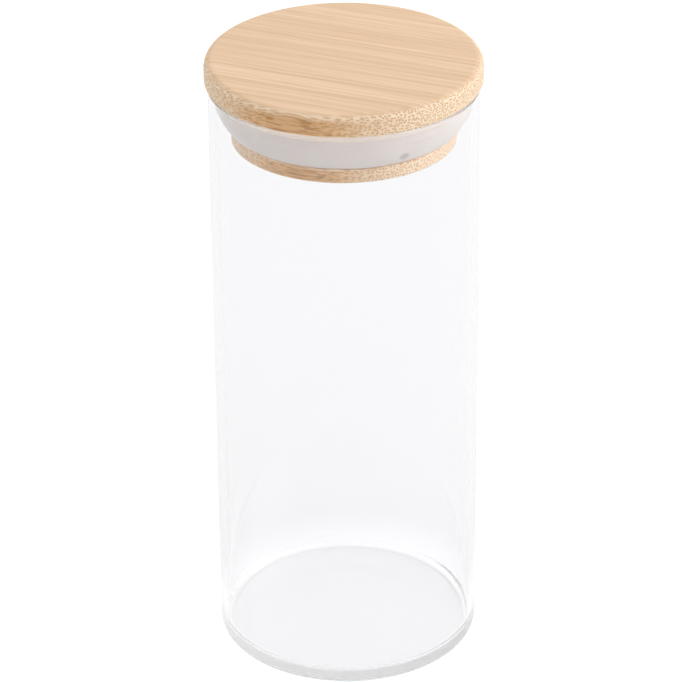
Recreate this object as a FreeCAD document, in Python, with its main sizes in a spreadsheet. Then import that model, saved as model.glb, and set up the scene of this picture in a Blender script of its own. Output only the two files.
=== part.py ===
import FreeCAD, Part
import os

import Sketcher

# Food canister: a straight borosilicate jar closed by a turned bamboo lid, whose plug
# carries a silicone seal. Millimetres, +Z up, origin at the centre of the base.

Sheet = "Sizes"
doc = FreeCAD.newDocument("food_canister")
sizes = doc.addObject("Spreadsheet::Sheet", Sheet)

driving_sizes = {
    # jar
    "jar_diameter": 65.0,
    "jar_height": 151.0,
    "wall_thickness": 1.8,
    "floor_thickness": 2.4,
    "heel_round": 2.0,          # outside corner between wall and base
    "inner_corner_round": 2.5,
    "rim_round": 0.8,           # fire-polished edges of the mouth
    "foot_width": 6.0,          # flat ring that the jar stands on, inside the heel
    "push_up": 0.8,             # how far the middle of the base is raised
    # lid
    "flange_thickness": 5.5,
    "rim_gap": 0.3,             # the seal's grip holds the flange this far above the rim
    "lid_overhang": 0.75,       # how far the flange reaches past the glass
    "plug_depth": 14.1,
    "plug_gap": 3.65,           # between the plug and the glass bore
    "band_height": 3.6,         # plain band of the plug below the seal
    "groove_depth": 2.55,
    "top_round": 2.0,
    "edge_round": 0.6,
    # seal
    "seat_clearance": 0.05,     # between the seal and its groove in the plug
    "lip_clearance": 0.08,      # between the seal's lip and the glass bore
    "lip_height": 2.4,          # upright face of the lip
    "lip_lead": 1.0,            # slope above the lip
    "seal_shoulder_drop": 7.2,  # from the rim down to the shoulder of the tapered face
    "seal_shoulder_inset": 1.1,
    "seal_shoulder_round": 6.0,
    "seal_foot_step": 0.25,     # how far the seal's foot stands out past the plug
    "seal_foot_round": 0.8,
    # bamboo board that the lid is turned from
    "strip_count": 10,
    "glue_line_margin": 0.15,   # the outermost glue lines pass this far outside the plug
    "turning_allowance": 0.6,   # board outside the turned edge
    "grain_angle": -22.0,       # strips' direction, degrees from +X
}
for row, (alias, value) in enumerate(driving_sizes.items(), start=1):
    sizes.set("A%d" % row, alias)
    sizes.set("B%d" % row, str(value))
    sizes.setAlias("B%d" % row, alias)
doc.recompute()


def size(text):
    """An expression in sheet aliases, written out for setExpression."""
    for alias in sorted(driving_sizes, key=len, reverse=True):
        text = text.replace("{%s}" % alias, "%s.%s" % (Sheet, alias))
    return text


def value_of(expression):
    return float(sizes.evalExpression(expression))


jar_radius = size("{jar_diameter} / 2")
bore_radius = size("({jar_diameter} / 2 - {wall_thickness})")
foot_inner_radius = size("({jar_diameter} / 2 - {heel_round} - {foot_width})")
rim_height = size("{jar_height}")
rim_edge_round = size("min({rim_round}; 0.45 * {wall_thickness})")
lid_radius = size("({jar_diameter} / 2 + {lid_overhang})")
flange_height = size("({jar_height} + {rim_gap})")
lid_top = size("({jar_height} + {rim_gap} + {flange_thickness})")
plug_radius = size("({jar_diameter} / 2 - {wall_thickness} - {plug_gap})")
plug_bottom = size("({jar_height} - {plug_depth})")
groove_radius = size("({jar_diameter} / 2 - {wall_thickness} - {plug_gap} - {groove_depth})")
groove_bottom = size("({jar_height} - {plug_depth} + {band_height})")
outer_glue_line = size("(%s + {glue_line_margin})" % plug_radius)
strip_width = size("(2 * %s / ({strip_count} - 2))" % outer_glue_line)
edge_strip_width = size("(%s + {turning_allowance} - %s)" % (lid_radius, outer_glue_line))


def origin_plane(body, role):
    return next(plane for plane in body.Origin.OriginFeatures if plane.Role == role)


def turned_outline(body, name, corners):
    """A closed outline in the XZ plane; each corner is (radius, height) as expressions."""
    sketch = body.newObject("Sketcher::SketchObject", name)
    sketch.AttachmentSupport = (origin_plane(body, "XZ_Plane"), [""])
    sketch.MapMode = "FlatFace"
    points = [FreeCAD.Vector(value_of(radius), value_of(height), 0) for radius, height in corners]
    count = len(points)
    for index in range(count):
        sketch.addGeometry(Part.LineSegment(points[index], points[(index + 1) % count]), False)
    for index in range(count):
        sketch.addConstraint(Sketcher.Constraint("Coincident", index, 2, (index + 1) % count, 1))
    for index, (radius, height) in enumerate(corners):
        for kind, axis, expression, distance in (
            ("DistanceX", -2, radius, points[index].x),
            ("DistanceY", -1, height, points[index].y),
        ):
            if expression == "0":
                sketch.addConstraint(Sketcher.Constraint("PointOnObject", index, 1, axis))
                continue
            number = sketch.addConstraint(Sketcher.Constraint(kind, -1, 1, index, 1, distance))
            sketch.setExpression("Constraints[%d]" % number, expression)
    sketch.Visibility = False
    return sketch


def turn(body, kind, name, sketch):
    """Turns an outline about the vertical axis: a Revolution adds it, a Groove cuts it."""
    feature = body.newObject(kind, name)
    feature.Profile = sketch
    feature.ReferenceAxis = (sketch, ["V_Axis"])
    feature.Angle = 360
    doc.recompute()
    return feature


def ring_edges(feature, places):
    """Names of the circular edges at the given (radius, height) places."""
    found = []
    for radius, height in places:
        names = [
            "Edge%d" % (number + 1)
            for number, edge in enumerate(feature.Shape.Edges)
            if isinstance(edge.Curve, Part.Circle)
            and abs(edge.Curve.Radius - value_of(radius)) < 1e-4
            and abs(edge.Curve.Center.z - value_of(height)) < 1e-4
        ]
        if not names:
            raise RuntimeError("%s has no edge at %s, %s" % (feature.Name, radius, height))
        found += names
    return found


def round_edges(body, name, base, places, radius):
    fillet = body.newObject("PartDesign::Fillet", name)
    fillet.Base = (base, ring_edges(base, places))
    fillet.setExpression("Radius", radius)
    doc.recompute()
    return fillet


def glass_jar():
    body = doc.addObject("PartDesign::Body", "glass_jar")
    outline = turned_outline(body, "jar_outline", [
        ("0", size("{push_up}")),
        (foot_inner_radius, "0"),
        (jar_radius, "0"),
        (jar_radius, rim_height),
        (bore_radius, rim_height),
        (bore_radius, size("{floor_thickness}")),
        ("0", size("({floor_thickness} + {push_up} / 2)")),
    ])
    wall = turn(body, "PartDesign::Revolution", "jar_wall", outline)
    heel = round_edges(body, "jar_heel", wall, [(jar_radius, "0")], size("{heel_round}"))
    corner = round_edges(body, "jar_inner_corner", heel,
                         [(bore_radius, size("{floor_thickness}"))], size("{inner_corner_round}"))
    round_edges(body, "jar_rim", corner,
                [(jar_radius, rim_height), (bore_radius, rim_height)], rim_edge_round)
    return body


def turned_lid():
    """The whole lid as it leaves the lathe; the strips are cut from it."""
    body = doc.addObject("PartDesign::Body", "turned_lid")
    outline = turned_outline(body, "lid_outline", [
        ("0", plug_bottom),
        (plug_radius, plug_bottom),
        (plug_radius, flange_height),
        (lid_radius, flange_height),
        (lid_radius, lid_top),
        ("0", lid_top),
    ])
    blank = turn(body, "PartDesign::Revolution", "lid_blank", outline)
    groove_outline = turned_outline(body, "seal_groove_outline", [
        (groove_radius, groove_bottom),
        (plug_radius, groove_bottom),
        (plug_radius, flange_height),
        (groove_radius, flange_height),
    ])
    groove = turn(body, "PartDesign::Groove", "seal_groove", groove_outline)
    if groove.Shape.Volume > blank.Shape.Volume - 1:
        raise RuntimeError("the seal's groove cut nothing")
    crown = round_edges(body, "lid_top_round", groove, [(lid_radius, lid_top)], size("{top_round}"))
    round_edges(body, "lid_edge_round", crown, [
        (lid_radius, flange_height),
        (plug_radius, plug_bottom),
        (plug_radius, groove_bottom),
    ], size("{edge_round}"))
    return body


def silicone_seal():
    body = doc.addObject("PartDesign::Body", "silicone_seal")
    seal_bore = size("(%s + {seat_clearance})" % groove_radius)
    seal_top = size("({jar_height} + {rim_gap} - {seat_clearance})")
    seal_foot = size("(%s + {seat_clearance})" % groove_bottom)
    foot_radius = size("(%s + {seal_foot_step})" % plug_radius)
    lip_radius = size("(%s - {lip_clearance})" % bore_radius)
    lead_radius = size("(%s - {lip_clearance} - {lip_lead})" % bore_radius)
    lip_top = size("({jar_height} - {seat_clearance} - {lip_lead})")
    lip_bottom = size("({jar_height} - {seat_clearance} - {lip_lead} - {lip_height})")
    shoulder_radius = size("(%s - {lip_clearance} - {seal_shoulder_inset})" % bore_radius)
    shoulder_height = size("({jar_height} - {seal_shoulder_drop})")
    outline = turned_outline(body, "seal_outline", [
        (seal_bore, seal_foot),
        (foot_radius, seal_foot),
        (shoulder_radius, shoulder_height),
        (lip_radius, lip_bottom),
        (lip_radius, lip_top),
        (lead_radius, seal_top),
        (seal_bore, seal_top),
    ])
    ring = turn(body, "PartDesign::Revolution", "seal_ring", outline)
    shoulder = round_edges(body, "seal_shoulder", ring, [(shoulder_radius, shoulder_height)],
                           size("{seal_shoulder_round}"))
    round_edges(body, "seal_foot", shoulder, [(foot_radius, seal_foot)], size("{seal_foot_round}"))
    return body


def lid_strips(lid):
    """The glued strips of the board, each as the lathe left it.

    No glue line crosses the plug's rim, where the seal's groove would leave a loose chip.
    """
    count = int(driving_sizes["strip_count"])
    strips = []
    for number in range(1, count + 1):
        width = edge_strip_width if number in (1, count) else strip_width
        start = size("%s * %d - %s" % (strip_width, number - 2, outer_glue_line))
        if number == 1:
            start = size("-%s - {turning_allowance}" % lid_radius)
        slab = doc.addObject("Part::Box", "slab_%02d" % number)
        slab.setExpression("Length", size("2 * (%s + {turning_allowance})" % lid_radius))
        slab.setExpression("Width", width)
        slab.setExpression("Height", size("{flange_thickness} + {rim_gap} + {plug_depth}"))
        slab.setExpression("Placement.Base.x", size("-%s - {turning_allowance}" % lid_radius))
        slab.setExpression("Placement.Base.y", start)
        slab.setExpression("Placement.Base.z", plug_bottom)
        strip = doc.addObject("Part::Common", "lid_strip_%02d" % number)
        strip.Base = lid
        strip.Tool = slab
        strip.Placement = FreeCAD.Placement(FreeCAD.Vector(), FreeCAD.Rotation(FreeCAD.Vector(0, 0, 1), -1))
        strip.setExpression("Placement.Rotation.Angle", size("{grain_angle}"))
        strips.append(strip)
    return strips


lid = turned_lid()
strips = lid_strips(lid)
parts = [glass_jar(), silicone_seal()] + strips
doc.recompute()

for item in doc.Objects:
    if "Invalid" in item.State or "Error" in item.State:
        raise RuntimeError("%s did not recompute: %s" % (item.Name, item.State))
for part in parts:
    if part.Shape.isNull() or not part.Shape.isValid() or len(part.Shape.Solids) != 1:
        raise RuntimeError("%s is not one valid solid" % part.Name)
strip_volume = sum(strip.Shape.Volume for strip in strips)
if abs(strip_volume - lid.Shape.Volume) > 1e-3 * lid.Shape.Volume:
    raise RuntimeError("the strips do not add up to the turned lid")

os.makedirs("parts", exist_ok=True)
for part in parts:
    part.Label = part.Name
    part.Shape.exportStep("parts/%s.step" % part.Label)
    print("%-16s %8.2f mm3  %s" % (part.Label, part.Shape.Volume, part.Shape.BoundBox))
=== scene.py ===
import math
import random

import bmesh
import bpy
from mathutils import Euler, Matrix, Vector


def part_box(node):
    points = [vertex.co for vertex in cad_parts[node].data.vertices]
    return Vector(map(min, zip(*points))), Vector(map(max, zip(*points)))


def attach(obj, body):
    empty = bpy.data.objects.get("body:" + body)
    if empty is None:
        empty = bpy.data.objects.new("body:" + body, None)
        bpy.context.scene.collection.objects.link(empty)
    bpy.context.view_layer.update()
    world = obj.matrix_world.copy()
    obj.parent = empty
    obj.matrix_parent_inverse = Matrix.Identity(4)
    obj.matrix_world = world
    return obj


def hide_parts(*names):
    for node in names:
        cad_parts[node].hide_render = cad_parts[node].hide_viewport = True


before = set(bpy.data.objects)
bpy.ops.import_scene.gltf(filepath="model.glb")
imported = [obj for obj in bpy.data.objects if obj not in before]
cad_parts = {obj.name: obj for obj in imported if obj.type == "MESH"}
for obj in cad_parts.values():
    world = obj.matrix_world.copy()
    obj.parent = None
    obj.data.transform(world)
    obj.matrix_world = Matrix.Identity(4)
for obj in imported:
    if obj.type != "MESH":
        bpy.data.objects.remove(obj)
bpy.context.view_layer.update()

mm = 0.001
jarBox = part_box("glass_jar")
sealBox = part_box("silicone_seal")
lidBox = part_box("lid_strip_05")
jarRadius = jarBox[1][0]
rimHeight = jarBox[1][2]
plugBottom = lidBox[0][2]
lidTop = lidBox[1][2]
stripNames = sorted(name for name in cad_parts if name.startswith("lid_strip_"))
grainAngle = math.radians(-22)      # direction of the bamboo strips, from +X
cornerAngle = math.radians(35)      # an edge that turns more than this is drawn sharp
across = Vector((-math.sin(grainAngle), math.cos(grainAngle), 0))


# shared helpers

def srgb(hexText):
    channels = [int(hexText[i:i + 2], 16) / 255 for i in (0, 2, 4)]
    return [c / 12.92 if c <= 0.04045 else ((c + 0.055) / 1.055) ** 2.4 for c in channels] + [1]


def addNode(tree, kind, inputs=None, **settings):
    # inputs: by name or number, each a value, a socket or a node whose first live output is meant
    node = tree.nodes.new(kind)
    for name, value in settings.items():
        setattr(node, name, value)
    for name, value in (inputs or {}).items():
        socket = node.inputs[name] if isinstance(name, int) else next(
            entry for entry in node.inputs if entry.name == name and entry.enabled)
        if isinstance(value, bpy.types.Node):
            value = next(output for output in value.outputs if output.enabled)
        if isinstance(value, bpy.types.NodeSocket):
            tree.links.new(value, socket)
        else:
            socket.default_value = value
    return node


def newMaterial(name):
    material = bpy.data.materials.new(name)
    material.use_nodes = True
    material.node_tree.nodes.clear()
    return material, material.node_tree


def objectOf(bm, name, material):
    for face in bm.faces:
        face.smooth = True
    for edge in bm.edges:           # sharp corners stay sharp, rounded ones are smooth
        edge.smooth = edge.calc_face_angle(0) < cornerAngle
    mesh = bpy.data.meshes.new(name)
    bm.to_mesh(mesh)
    bm.free()
    piece = bpy.data.objects.new(name, mesh)
    bpy.context.collection.objects.link(piece)
    piece.data.materials.append(material)
    return piece


def spunProfile(corners, roundings, turns):
    # half a section drawn as corners, corners rounded, then turned about the axis
    bm = bmesh.new()
    verts = [bm.verts.new((radius, 0, height)) for radius, height in corners]
    ring = verts[:1] if corners[0][0] > 0 else []
    for first, second in zip(verts, verts[1:] + ring):
        bm.edges.new((first, second))
    for number, (rounding, segments) in roundings.items():
        bmesh.ops.bevel(bm, geom=[verts[number]], offset=rounding, offset_type="OFFSET",
                        affect="VERTICES", segments=segments, profile=0.5, material=-1)
    guard = 0.2 * mm                # short edges beside each corner keep the long faces shading flat
    for edge in [edge for edge in bm.edges if edge.calc_length() > 4 * guard]:
        near, far = edge.verts
        if near.co.x > 0:
            edge, near = bmesh.utils.edge_split(edge, near, guard / edge.calc_length())
            edge = next(link for link in near.link_edges if far in link.verts)
        if far.co.x > 0:
            bmesh.utils.edge_split(edge, far, guard / edge.calc_length())
    bmesh.ops.spin(bm, geom=bm.verts[:] + bm.edges[:], cent=(0, 0, 0), axis=(0, 0, 1),
                   dvec=(0, 0, 0), angle=math.tau, steps=turns, use_merge=True)
    bmesh.ops.remove_doubles(bm, verts=bm.verts, dist=0.001 * mm)
    bmesh.ops.recalc_face_normals(bm, faces=bm.faces)
    return bm


# camera

cameraView = {
    "distance": 793.8,      # mm in front of the jar's axis
    "height": 518.3,
    "side": -1.2,
    "pitch": 28.91,         # degrees down
    "roll": -0.49,
    "lens": 194.0,
    "sensor": 36,
}


def makeCamera():
    data = bpy.data.cameras.new("camera")
    data.lens = cameraView["lens"]
    data.sensor_width = cameraView["sensor"]
    data.clip_end = 20
    camera = bpy.data.objects.new("camera", data)
    bpy.context.collection.objects.link(camera)
    aim = Euler((math.radians(90 - cameraView["pitch"]), 0, 0)).to_matrix().to_4x4()
    roll = Matrix.Rotation(math.radians(cameraView["roll"]), 4, "Z")
    place = Vector((cameraView["side"], -cameraView["distance"], cameraView["height"])) * mm
    camera.matrix_world = Matrix.Translation(place) @ aim @ roll
    bpy.context.scene.camera = camera


# floor and light

studio = {
    "drop": 0.05,           # mm, table top below the foot
    "reach": 6,             # m, half the table's width
    "paper": "e6e6e6",
    "glow": 0.13,           # light from under the table
    "spot": 0.215,          # more of it where the jar stands
    "white": 0.16,          # keeps the ground white where it is looked at straight
    "spotRadius": 55.0,
    "sky": 0.88,            # light from the surroundings at the height of the table
    "skyLean": (0.28, 0.20, 0.14),      # more light from the right, the back and above
    "throughGlass": 0.8,    # share of the white backdrop that is met through the glass
    "keyPower": 5.0,        # W
    "keyPlace": (1.3, -0.1, 0.85),      # m
    "keySize": 1.2,
    "bounces": 128,         # light goes a long way inside thick glass
}


def opalLightTable():
    # opal acrylic lit from below: a white ground with hardly a shadow, brightest under the jar
    material, tree = newMaterial("opalLightTable")
    middle = addNode(tree, "ShaderNodeVectorMath", {
        0: addNode(tree, "ShaderNodeTexCoord").outputs["Object"]}, operation="LENGTH")
    glow = addNode(tree, "ShaderNodeMapRange", {
        "Value": middle.outputs["Value"], "From Min": studio["spotRadius"] * mm,
        "From Max": 0.4 * studio["spotRadius"] * mm, "To Min": studio["glow"],
        "To Max": studio["glow"] + studio["spot"]}, interpolation_type="SMOOTHSTEP")
    white = addNode(tree, "ShaderNodeMath", {
        0: addNode(tree, "ShaderNodeLightPath").outputs["Is Camera Ray"], 1: studio["white"], 2: glow},
        operation="MULTIPLY_ADD")
    shader = addNode(tree, "ShaderNodeBsdfPrincipled", {
        "Base Color": srgb(studio["paper"]), "Roughness": 0.9, "Specular IOR Level": 0.1,
        "Emission Color": (1, 1, 1, 1), "Emission Strength": white})
    addNode(tree, "ShaderNodeOutputMaterial", {"Surface": shader})
    return material


def makeFloor():
    floorBm = bmesh.new()
    bmesh.ops.create_grid(floorBm, x_segments=1, y_segments=1, size=studio["reach"],
                          matrix=Matrix.Translation((0, 0, -studio["drop"] * mm)))
    floor = objectOf(floorBm, "floor", opalLightTable())


def makeWorld():
    world = bpy.data.worlds.new("studio")
    bpy.context.scene.world = world
    world.use_nodes = True
    tree = world.node_tree
    tree.nodes.clear()
    lean = addNode(tree, "ShaderNodeVectorMath", {
        0: addNode(tree, "ShaderNodeTexCoord").outputs["Generated"], 1: studio["skyLean"]},
        operation="DOT_PRODUCT")
    glow = addNode(tree, "ShaderNodeMath", {0: lean.outputs["Value"], 1: studio["sky"]}, operation="ADD")
    sky = addNode(tree, "ShaderNodeBackground", {"Color": (1, 1, 1, 1), "Strength": glow})
    backdrop = addNode(tree, "ShaderNodeBackground", {"Color": (1, 1, 1, 1), "Strength": 1.0})
    # an even white when looked at straight, and nearly so through the glass
    path = addNode(tree, "ShaderNodeLightPath")
    direct = addNode(tree, "ShaderNodeMath", {
        0: path.outputs["Is Transmission Ray"], 1: studio["throughGlass"],
        2: path.outputs["Is Camera Ray"]}, operation="MULTIPLY_ADD")
    seen = addNode(tree, "ShaderNodeMixShader", {0: direct, 1: sky, 2: backdrop})
    addNode(tree, "ShaderNodeOutputWorld", {"Surface": seen})


def makeKeyLight():
    light = bpy.data.lights.new("key", "AREA")
    light.shape = "DISK"
    light.size = studio["keySize"]
    light.energy = studio["keyPower"]
    key = bpy.data.objects.new("key", light)
    bpy.context.collection.objects.link(key)
    place = Vector(studio["keyPlace"])
    aim = (Vector((0, 0, rimHeight / 2)) - place).to_track_quat("-Z", "Y").to_matrix().to_4x4()
    key.matrix_world = Matrix.Translation(place) @ aim


def setLightPaths():
    scene = bpy.context.scene
    scene.view_settings.view_transform = "Standard"
    for limit in ("max_bounces", "glossy_bounces", "transmission_bounces", "transparent_max_bounces"):
        setattr(scene.cycles, limit, studio["bounces"])


# glass jar

jar = {
    "wall": 1.8,
    "floor": 2.4,
    "heelRound": 2.0,
    "cornerRound": 2.5,
    "rimRound": 0.8,
    "footWidth": 6.0,
    "pushUp": 0.8,
    "raisedRound": 6.0,     # soft bend in the raised middle, inside and outside
    "footRound": 4.0,
    "turns": 256,
    "tint": "fefeff",
    "ior": 1.473,
    "murk": "d6dadb",       # colour that thick glass takes on
    "murkDensity": 9.0,     # per metre
    "footRoughness": 0.3,
    "rimRoughness": 0.45,
    "groundDepth": (1.2, 0.8),      # mm below the rim where the ground edge fades in
    # painted light: colour of the glow painted onto the ground rim
    "rimLight": "ffd8b0",
    "paintedRimGlow": 0.26,        # painted glow: how strongly the ground rim emits light, standing in for its bright line
    "drawLines": 0.012,     # mm, height of the faint lines left by drawing the tube
    "lineWidth": 3.5,
    "lineLength": 90,
}


def borosilicateGlass():
    # clear drawn borosilicate tube: walls that all but vanish, greyer where the eye looks
    # along them, and a painted glow along the ground rim standing in for its line of light
    material, tree = newMaterial("drawnBorosilicateGlass")
    place = addNode(tree, "ShaderNodeTexCoord").outputs["Object"]
    lineWidth, lineLength = jar["lineWidth"] * mm, jar["lineLength"] * mm
    along = addNode(tree, "ShaderNodeMapping", {
        "Vector": place, "Scale": (1 / lineWidth, 1 / lineWidth, 1 / lineLength)})
    lines = addNode(tree, "ShaderNodeTexNoise", {"Vector": along, "Scale": 1.0, "Detail": 1.0})
    bump = addNode(tree, "ShaderNodeBump", {
        "Height": lines, "Strength": 1.0, "Distance": jar["drawLines"] * mm})
    # the pressed foot and the ground rim aren't as smooth as the drawn wall between them
    height = addNode(tree, "ShaderNodeSeparateXYZ", {0: place}).outputs["Z"]
    heel = addNode(tree, "ShaderNodeMapRange", {
        "Value": height, "From Min": jar["floor"] * mm, "From Max": 0.5 * jar["floor"] * mm,
        "To Min": 0.0, "To Max": jar["footRoughness"]}, interpolation_type="SMOOTHSTEP")
    begins, full = (rimHeight - depth * mm for depth in jar["groundDepth"])
    rim = addNode(tree, "ShaderNodeMapRange", {
        "Value": height, "From Min": begins, "From Max": full, "To Min": 0.0,
        "To Max": jar["rimRoughness"]}, interpolation_type="SMOOTHSTEP")
    rough = addNode(tree, "ShaderNodeMath", {0: heel, 1: rim}, operation="MAXIMUM")
    # painted light: the ground rim emits light, standing in for the bright line it shows
    rimLight = addNode(tree, "ShaderNodeMath", {0: rim, 1: jar["paintedRimGlow"]}, operation="MULTIPLY")
    glass = addNode(tree, "ShaderNodeBsdfPrincipled", {
        "Base Color": srgb(jar["tint"]), "Roughness": rough, "IOR": jar["ior"],
        "Transmission Weight": 1.0, "Normal": bump, "Emission Color": srgb(jar["rimLight"]),
        "Emission Strength": rimLight})
    lamps = addNode(tree, "ShaderNodeMixShader", {      # lets the lamps reach what stands behind the glass
        0: addNode(tree, "ShaderNodeLightPath").outputs["Is Shadow Ray"], 1: glass,
        2: addNode(tree, "ShaderNodeBsdfTransparent")})
    murk = addNode(tree, "ShaderNodeVolumeAbsorption", {
        "Color": srgb(jar["murk"]), "Density": jar["murkDensity"]})
    addNode(tree, "ShaderNodeOutputMaterial", {"Surface": lamps, "Volume": murk})
    return material


def makeJar():
    bore = jarRadius - jar["wall"] * mm
    foot = jarRadius - (jar["heelRound"] + jar["footWidth"]) * mm
    raised = jar["pushUp"] * mm
    floor = jar["floor"] * mm
    corners = [
        (0, raised), (foot / 2, raised * 0.75), (foot, 0), (jarRadius, 0), (jarRadius, rimHeight),
        (bore, rimHeight), (bore, floor), (foot / 2, floor + raised * 0.37), (0, floor + raised / 2),
    ]
    roundings = {       # corner number: radius and how many steps the round takes
        1: (jar["raisedRound"] * mm, 8), 2: (jar["footRound"] * mm, 8), 3: (jar["heelRound"] * mm, 20),
        4: (jar["rimRound"] * mm, 12), 5: (jar["rimRound"] * mm, 12),
        6: (jar["cornerRound"] * mm, 20), 7: (jar["raisedRound"] * mm, 8),
    }
    piece = objectOf(spunProfile(corners, roundings, jar["turns"]), "jarGlass", borosilicateGlass())
    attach(piece, "jar")
    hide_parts("glass_jar")


# silicone seal

seal = {
    "bore": 24.55,
    "foot": 27.3,
    "footRound": 1.2,
    "shoulderDrop": 7.2,
    "shoulderInset": 1.1,
    "lipDrop": 1.05,
    "lipHeight": 2.4,
    "lipLead": 1.0,
    "lipRound": 0.3,
    "lipRootRound": 0.25,
    "bendRound": 1.6,       # where the skirt leans out to the lip
    "turns": 256,
    "cloudSize": 6.0,       # mm, faint unevenness of the white
    "peelSize": 0.6,        # mm, and of the moulded surface
    "peelHeight": 0.03,
    "gatePlace": (13.6, -25.6, 143.3),
    "gateRadius": 1.5,
    "gateFade": 0.6,        # how much of the gate's colour covers the seal
    "gate": "bdb4b2",
    "white": "f8f0eb",
    "shade": "f0e7e2",
}


def mouldedSilicone():
    # translucent white silicone out of a polished mould: soft sheen, light glows through it
    material, tree = newMaterial("mouldedWhiteSilicone")
    place = addNode(tree, "ShaderNodeTexCoord").outputs["Object"]
    cloud = addNode(tree, "ShaderNodeTexNoise", {
        "Vector": place, "Scale": 1 / (seal["cloudSize"] * mm), "Detail": 2.0})
    tone = addNode(tree, "ShaderNodeMix", {
        "Factor": cloud, "A": srgb(seal["shade"]), "B": srgb(seal["white"])}, data_type="RGBA")
    # the small round mark where the mould was filled
    fromGate = addNode(tree, "ShaderNodeVectorMath", {
        0: place, 1: [value * mm for value in seal["gatePlace"]]}, operation="DISTANCE")
    gate = addNode(tree, "ShaderNodeMapRange", {
        "Value": fromGate.outputs["Value"], "From Min": seal["gateRadius"] * mm,
        "From Max": 0.5 * seal["gateRadius"] * mm, "To Min": 0.0, "To Max": seal["gateFade"]},
        interpolation_type="SMOOTHSTEP")
    tone = addNode(tree, "ShaderNodeMix", {
        "Factor": gate, "A": tone, "B": srgb(seal["gate"])}, data_type="RGBA")
    orangePeel = addNode(tree, "ShaderNodeTexNoise", {
        "Vector": place, "Scale": 1 / (seal["peelSize"] * mm), "Detail": 2.0})
    bump = addNode(tree, "ShaderNodeBump", {
        "Height": orangePeel, "Strength": 0.15, "Distance": seal["peelHeight"] * mm})
    shader = addNode(tree, "ShaderNodeBsdfPrincipled", {
        "Base Color": tone, "Roughness": 0.38, "IOR": 1.41, "Normal": bump,
        "Subsurface Weight": 0.7, "Subsurface Scale": 2.5 * mm, "Subsurface Radius": (1.0, 0.85, 0.75)})
    addNode(tree, "ShaderNodeOutputMaterial", {"Surface": shader})
    return material


def makeSeal():
    low, high = sealBox[0][2], sealBox[1][2]
    lip = sealBox[1][0]
    lipTop = rimHeight - seal["lipDrop"] * mm
    corners = [
        (seal["bore"] * mm, low), (seal["foot"] * mm, low),
        (lip - seal["shoulderInset"] * mm, rimHeight - seal["shoulderDrop"] * mm),
        (lip, lipTop - seal["lipHeight"] * mm), (lip, lipTop),
        (lip - seal["lipLead"] * mm, high), (seal["bore"] * mm, high),
    ]
    roundings = {
        1: (seal["footRound"] * mm, 10), 2: (seal["bendRound"] * mm, 12),
        3: (seal["lipRootRound"] * mm, 6), 4: (seal["lipRound"] * mm, 6), 5: (seal["lipRound"] * mm, 6),
    }
    piece = objectOf(spunProfile(corners, roundings, seal["turns"]), "sealRing", mouldedSilicone())
    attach(piece, "seal")
    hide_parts("silicone_seal")


# bamboo lid

lid = {
    "radius": 33.25,
    "rimGap": 0.3,          # flange held this far above the rim
    "topRound": 2.0,
    "edgeRound": 0.6,
    "plugRadius": 27.05,
    "bandHeight": 3.6,
    "grooveRadius": 24.5,
    "turns": 240,
    "stripSeed": 7,
    "stripTones": (0.985, 1.015),       # each strip's brightness against the others
}
bamboo = {
    "light": "f2d3b2",
    "tan": "cfab85",
    "pith": "f8e6cc",       # pale net between the fibre bundles on the turned edge
    "fibre": "c0925f",      # dark ends of the bundles
    "stain": "d09a5c",      # where the turned edge runs along the fibres
    "streak": "9a6a34",     # and the dark fibres there
    "bundleWidth": 0.6,     # mm from one bundle to the next
    "wander": 0.4,          # mm that a fibre strays over the lid
    "wanderWaves": (18, 90, 90),        # per metre: along the strip, across it and up
    "weave": 0.9,           # mm that the bundles stray on top of that
    "weaveWaves": (110, 300, 300),
    # streaks: mm along the strip, across it and up, then how much fine detail they have
    "streaks": {
        "fine": (45, 0.24, 0.24, 3.0),
        "medium": (90, 0.9, 0.9, 2.0),
        "broad": (200, 5, 12, 2.0),
        "dark": (9, 0.5, 0.42, 2.0),
    },
    "bumpHeight": 0.03,     # mm
    "paintedLightDepth": 3.0,        # mm below the rim from where the plug is drawn fully lighter (painted light)
    # painted light: how much lighter the plug is drawn
    "paintedLightTone": 1.28,
    "stripWidth": 6.8,
    "glueWidth": 0.12,
    "boardSeed": 5,
    "boardTones": (0.42, 0.66),     # darkest and lightest strip, 0 is tan and 1 is light
    "seamTones": (0.10, 0.30),      # dense fibres where two strips meet
    "seamWidth": 0.5,
    "boardShare": 0.45,             # how much the strips' own tones count
}


def stripTones():
    # each strip has a tone of its own, and a darker line where it meets the next
    dice = random.Random(bamboo["boardSeed"])
    boardTones = [dice.uniform(*bamboo["boardTones"]) for _ in stripNames]
    tones = [(-lid["radius"], boardTones[0])]
    for number, (before, after) in enumerate(zip(boardTones, boardTones[1:]), 1):
        joint = (number - len(stripNames) / 2) * bamboo["stripWidth"]
        seam = dice.uniform(*bamboo["seamTones"])
        tones += [(joint - bamboo["seamWidth"], before), (joint, seam),
                  (joint + bamboo["seamWidth"], after)]
    return tones + [(lid["radius"], boardTones[-1])]


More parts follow.
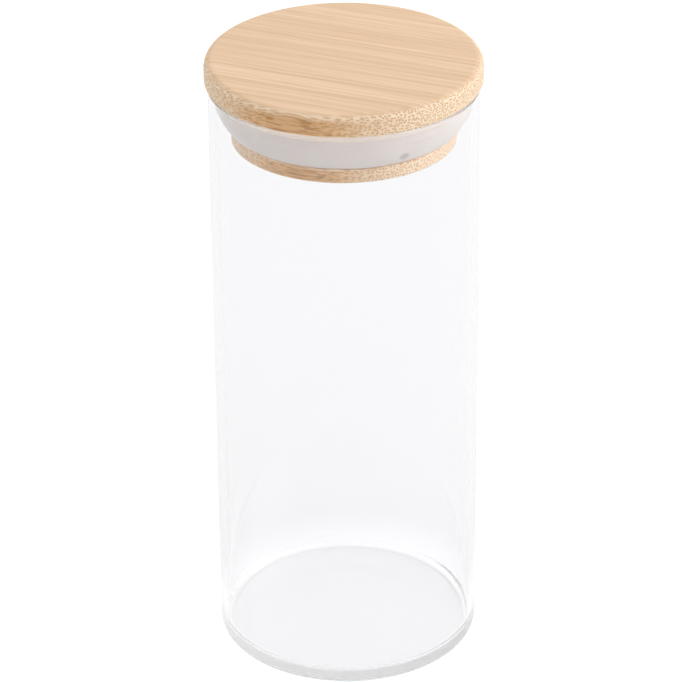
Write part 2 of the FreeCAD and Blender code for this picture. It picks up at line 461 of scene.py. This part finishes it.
def stripBamboo():
    # side-pressed bamboo strips, turned and sanded: straight streaks along the strips on the top,
    # and the dark ends of the fibre bundles in a pale net around the edge
    material, tree = newMaterial("turnedStripBamboo")
    coords = addNode(tree, "ShaderNodeTexCoord")
    aligned = addNode(tree, "ShaderNodeMapping", {
        "Vector": coords.outputs["Object"], "Rotation": (0, 0, -grainAngle)})
    shift = addNode(tree, "ShaderNodeAttribute", attribute_type="OBJECT", attribute_name="stripShift")
    tone = addNode(tree, "ShaderNodeAttribute", attribute_type="OBJECT", attribute_name="stripTone")

    # the grain strays a little from straight, and the bundles a little more
    waves = addNode(tree, "ShaderNodeMapping", {"Vector": aligned, "Scale": bamboo["wanderWaves"]})
    wander = addNode(tree, "ShaderNodeTexNoise", {"Vector": waves, "Scale": 1.0, "Detail": 0.0})
    wandered = addNode(tree, "ShaderNodeVectorMath", {
        0: wander.outputs["Color"], 1: (0, bamboo["wander"] * mm, bamboo["wander"] * mm), 2: aligned},
        operation="MULTIPLY_ADD")
    grain = addNode(tree, "ShaderNodeVectorMath", {
        0: wandered, 1: shift.outputs["Vector"]}, operation="ADD")
    ripples = addNode(tree, "ShaderNodeMapping", {"Vector": aligned, "Scale": bamboo["weaveWaves"]})
    weave = addNode(tree, "ShaderNodeTexNoise", {"Vector": ripples, "Scale": 1.0, "Detail": 0.0})
    woven = addNode(tree, "ShaderNodeVectorMath", {
        0: weave.outputs["Color"], 1: (0, bamboo["weave"] * mm, bamboo["weave"] * mm), 2: grain},
        operation="MULTIPLY_ADD")

    # bundles as cells of the strip's cross-section, and streaks along the strip
    parts = addNode(tree, "ShaderNodeSeparateXYZ", {0: woven})
    section = addNode(tree, "ShaderNodeCombineXYZ", {"X": parts.outputs["Y"], "Y": parts.outputs["Z"]})
    bundles = addNode(tree, "ShaderNodeTexVoronoi", {
        "Vector": section, "Scale": 1 / (bamboo["bundleWidth"] * mm), "Randomness": 0.75},
        voronoi_dimensions="2D")
    streaks = {}
    for name, (*sizes, detail) in bamboo["streaks"].items():
        stretched = addNode(tree, "ShaderNodeMapping", {
            "Vector": grain, "Scale": [1 / (size * mm) for size in sizes]})
        streaks[name] = addNode(tree, "ShaderNodeTexNoise", {
            "Vector": stretched, "Scale": 1.0, "Detail": detail, "Roughness": 0.6})

    # which way the surface faces, and where on the lid it is
    upright = addNode(tree, "ShaderNodeSeparateXYZ", {0: coords.outputs["Normal"]}).outputs["Z"]
    level = addNode(tree, "ShaderNodeMath", {0: upright}, operation="ABSOLUTE")
    sideways = addNode(tree, "ShaderNodeVectorMath", {
        0: coords.outputs["Normal"], 1: across}, operation="DOT_PRODUCT")
    facing = addNode(tree, "ShaderNodeMath", {      # 1 where the edge runs along the strips
        0: sideways.outputs["Value"]}, operation="ABSOLUTE")
    height = addNode(tree, "ShaderNodeSeparateXYZ", {0: coords.outputs["Object"]}).outputs["Z"]
    placeAcross = addNode(tree, "ShaderNodeSeparateXYZ", {0: aligned}).outputs["Y"]
    joint = addNode(tree, "ShaderNodeMath", {
        0: placeAcross, 1: bamboo["stripWidth"] / 2 * mm}, operation="PINGPONG")

    # soft steps: what is measured, where the step begins and ends, its value before and after
    steps = {
        "side": (level, 0.97, 0.6, 0.0, 1.0),       # 0 on the flat top, 1 on the turned edge
        "broadTone": (streaks["broad"], 0.3, 0.7, 0.0, 0.1),
        "mediumTone": (streaks["medium"], 0.3, 0.7, 0.0, 0.45),
        "fineFibres": (streaks["fine"], 0.5, 0.75, 0.0, 0.3),
        "lengthwise": (facing, 0.85, 1.0, 0.0, 0.6),
        "endwise": (facing, 0.95, 0.6, 0.15, 0.75),
        "netDepth": ("side", 0.0, 1.0, 0.05, 1.0),
        "netLines": (bundles, 0.25, 0.5, 0.0, 1.0),
        "dotDepth": ("side", 0.0, 1.0, 0.10, 0.5),
        "dotShapes": (bundles, 0.4, 0.15, 0.0, 1.0),
        "darkFibres": (streaks["dark"], 0.5, 0.62, 0.0, 1.0),
        "glue": (joint, bamboo["glueWidth"] * mm, 0.0, 0.0, 0.25),
        # painted light: lighter below the rim, standing in for light the plug lacks inside the jar
        "paintedPlugLight": (height, rimHeight - bamboo["paintedLightDepth"] * mm, rimHeight, bamboo["paintedLightTone"], 1.0),
    }
    mask = {}
    for name, (measured, begin, end, before, after) in steps.items():
        mask[name] = addNode(tree, "ShaderNodeMapRange", {
            "Value": mask[measured] if isinstance(measured, str) else measured,
            "From Min": begin, "From Max": end, "To Min": before, "To Max": after},
            interpolation_type="SMOOTHSTEP")
    products = {
        "endNet": ("endwise", "netDepth"), "net": ("netLines", "endNet"), "dots": ("dotShapes", "dotDepth"),
        "stain": ("side", "lengthwise"), "streak": ("darkFibres", "stain"),
    }
    for name, (first, second) in products.items():
        mask[name] = addNode(tree, "ShaderNodeMath", {
            0: mask[first], 1: mask[second]}, operation="MULTIPLY")

    # the strips' own tones across the lid
    width = 2 * lid["radius"]
    share = addNode(tree, "ShaderNodeMath", {
        0: placeAcross, 1: 1 / (width * mm), 2: 0.5}, operation="MULTIPLY_ADD")
    boards = addNode(tree, "ShaderNodeValToRGB", {0: share})
    stops = boards.color_ramp.elements
    tones = stripTones()
    while len(stops) < len(tones):
        stops.new(0.5)
    for stop, (distance, grey) in zip(stops, tones):
        stop.position = distance / width + 0.5
        stop.color = (grey, grey, grey, 1)
    noiseTone = addNode(tree, "ShaderNodeMath", {
        0: mask["broadTone"], 1: mask["mediumTone"]}, operation="ADD")
    lightness = addNode(tree, "ShaderNodeMath", {
        0: boards, 1: bamboo["boardShare"], 2: noiseTone}, operation="MULTIPLY_ADD")

    # colours, one layer over the other
    base = addNode(tree, "ShaderNodeMix", {
        "Factor": lightness, "A": srgb(bamboo["tan"]), "B": srgb(bamboo["light"])}, data_type="RGBA")
    for name, colour in (("fineFibres", "fibre"), ("net", "pith"), ("dots", "fibre"),
                         ("stain", "stain"), ("streak", "streak"), ("glue", "fibre")):
        base = addNode(tree, "ShaderNodeMix", {
            "Factor": mask[name], "A": base, "B": srgb(bamboo[colour])}, data_type="RGBA")
    value = addNode(tree, "ShaderNodeMath", {       # painted light: the plug is drawn lighter, for the light it lacks inside the jar
        0: tone.outputs["Fac"], 1: mask["paintedPlugLight"]}, operation="MULTIPLY")
    toned = addNode(tree, "ShaderNodeHueSaturation", {"Color": base, "Value": value})
    relief = addNode(tree, "ShaderNodeMath", {0: streaks["fine"], 1: mask["dots"]}, operation="SUBTRACT")
    bump = addNode(tree, "ShaderNodeBump", {
        "Height": relief, "Strength": 0.25, "Distance": bamboo["bumpHeight"] * mm})
    shader = addNode(tree, "ShaderNodeBsdfPrincipled", {
        "Base Color": toned, "Roughness": 0.55, "IOR": 1.5, "Specular IOR Level": 0.35, "Normal": bump})
    addNode(tree, "ShaderNodeOutputMaterial", {"Surface": shader})
    return material


def makeLid():
    band = plugBottom + lid["bandHeight"] * mm
    flange = rimHeight + lid["rimGap"] * mm
    plug, groove, rim = lid["plugRadius"] * mm, lid["grooveRadius"] * mm, lid["radius"] * mm
    corners = [
        (0, plugBottom), (plug, plugBottom), (plug, band), (groove, band),
        (groove, flange), (rim, flange), (rim, lidTop), (0, lidTop),
    ]
    edge = (lid["edgeRound"] * mm, 8)
    roundings = {1: edge, 2: edge, 5: edge, 6: (lid["topRound"] * mm, 20)}
    turned = spunProfile(corners, roundings, lid["turns"])
    material = stripBamboo()
    dice = random.Random(lid["stripSeed"])
    for name in stripNames:
        reach = [across.dot(vertex.co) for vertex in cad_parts[name].data.vertices]
        strip = turned.copy()
        for limit, facing in ((min(reach), 1), (max(reach), -1)):
            everything = strip.verts[:] + strip.edges[:] + strip.faces[:]
            bmesh.ops.bisect_plane(strip, geom=everything, dist=0.0005 * mm, plane_co=across * limit,
                                   plane_no=across * facing, clear_inner=True)
            bmesh.ops.holes_fill(strip, edges=[edge for edge in strip.edges if edge.is_boundary], sides=0)
        piece = objectOf(strip, name.replace("lid_strip_", "bambooStrip"), material)
        piece["stripShift"] = (dice.uniform(0, 1), 0.0, 0.0)
        piece["stripTone"] = dice.uniform(*lid["stripTones"])
        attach(piece, "lid")
        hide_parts(name)
    turned.free()


makeCamera()
makeFloor()
makeWorld()
makeKeyLight()
setLightPaths()
print("studio made")
makeJar()
print("jar made")
makeSeal()
print("seal made")
makeLid()
print("lid made")
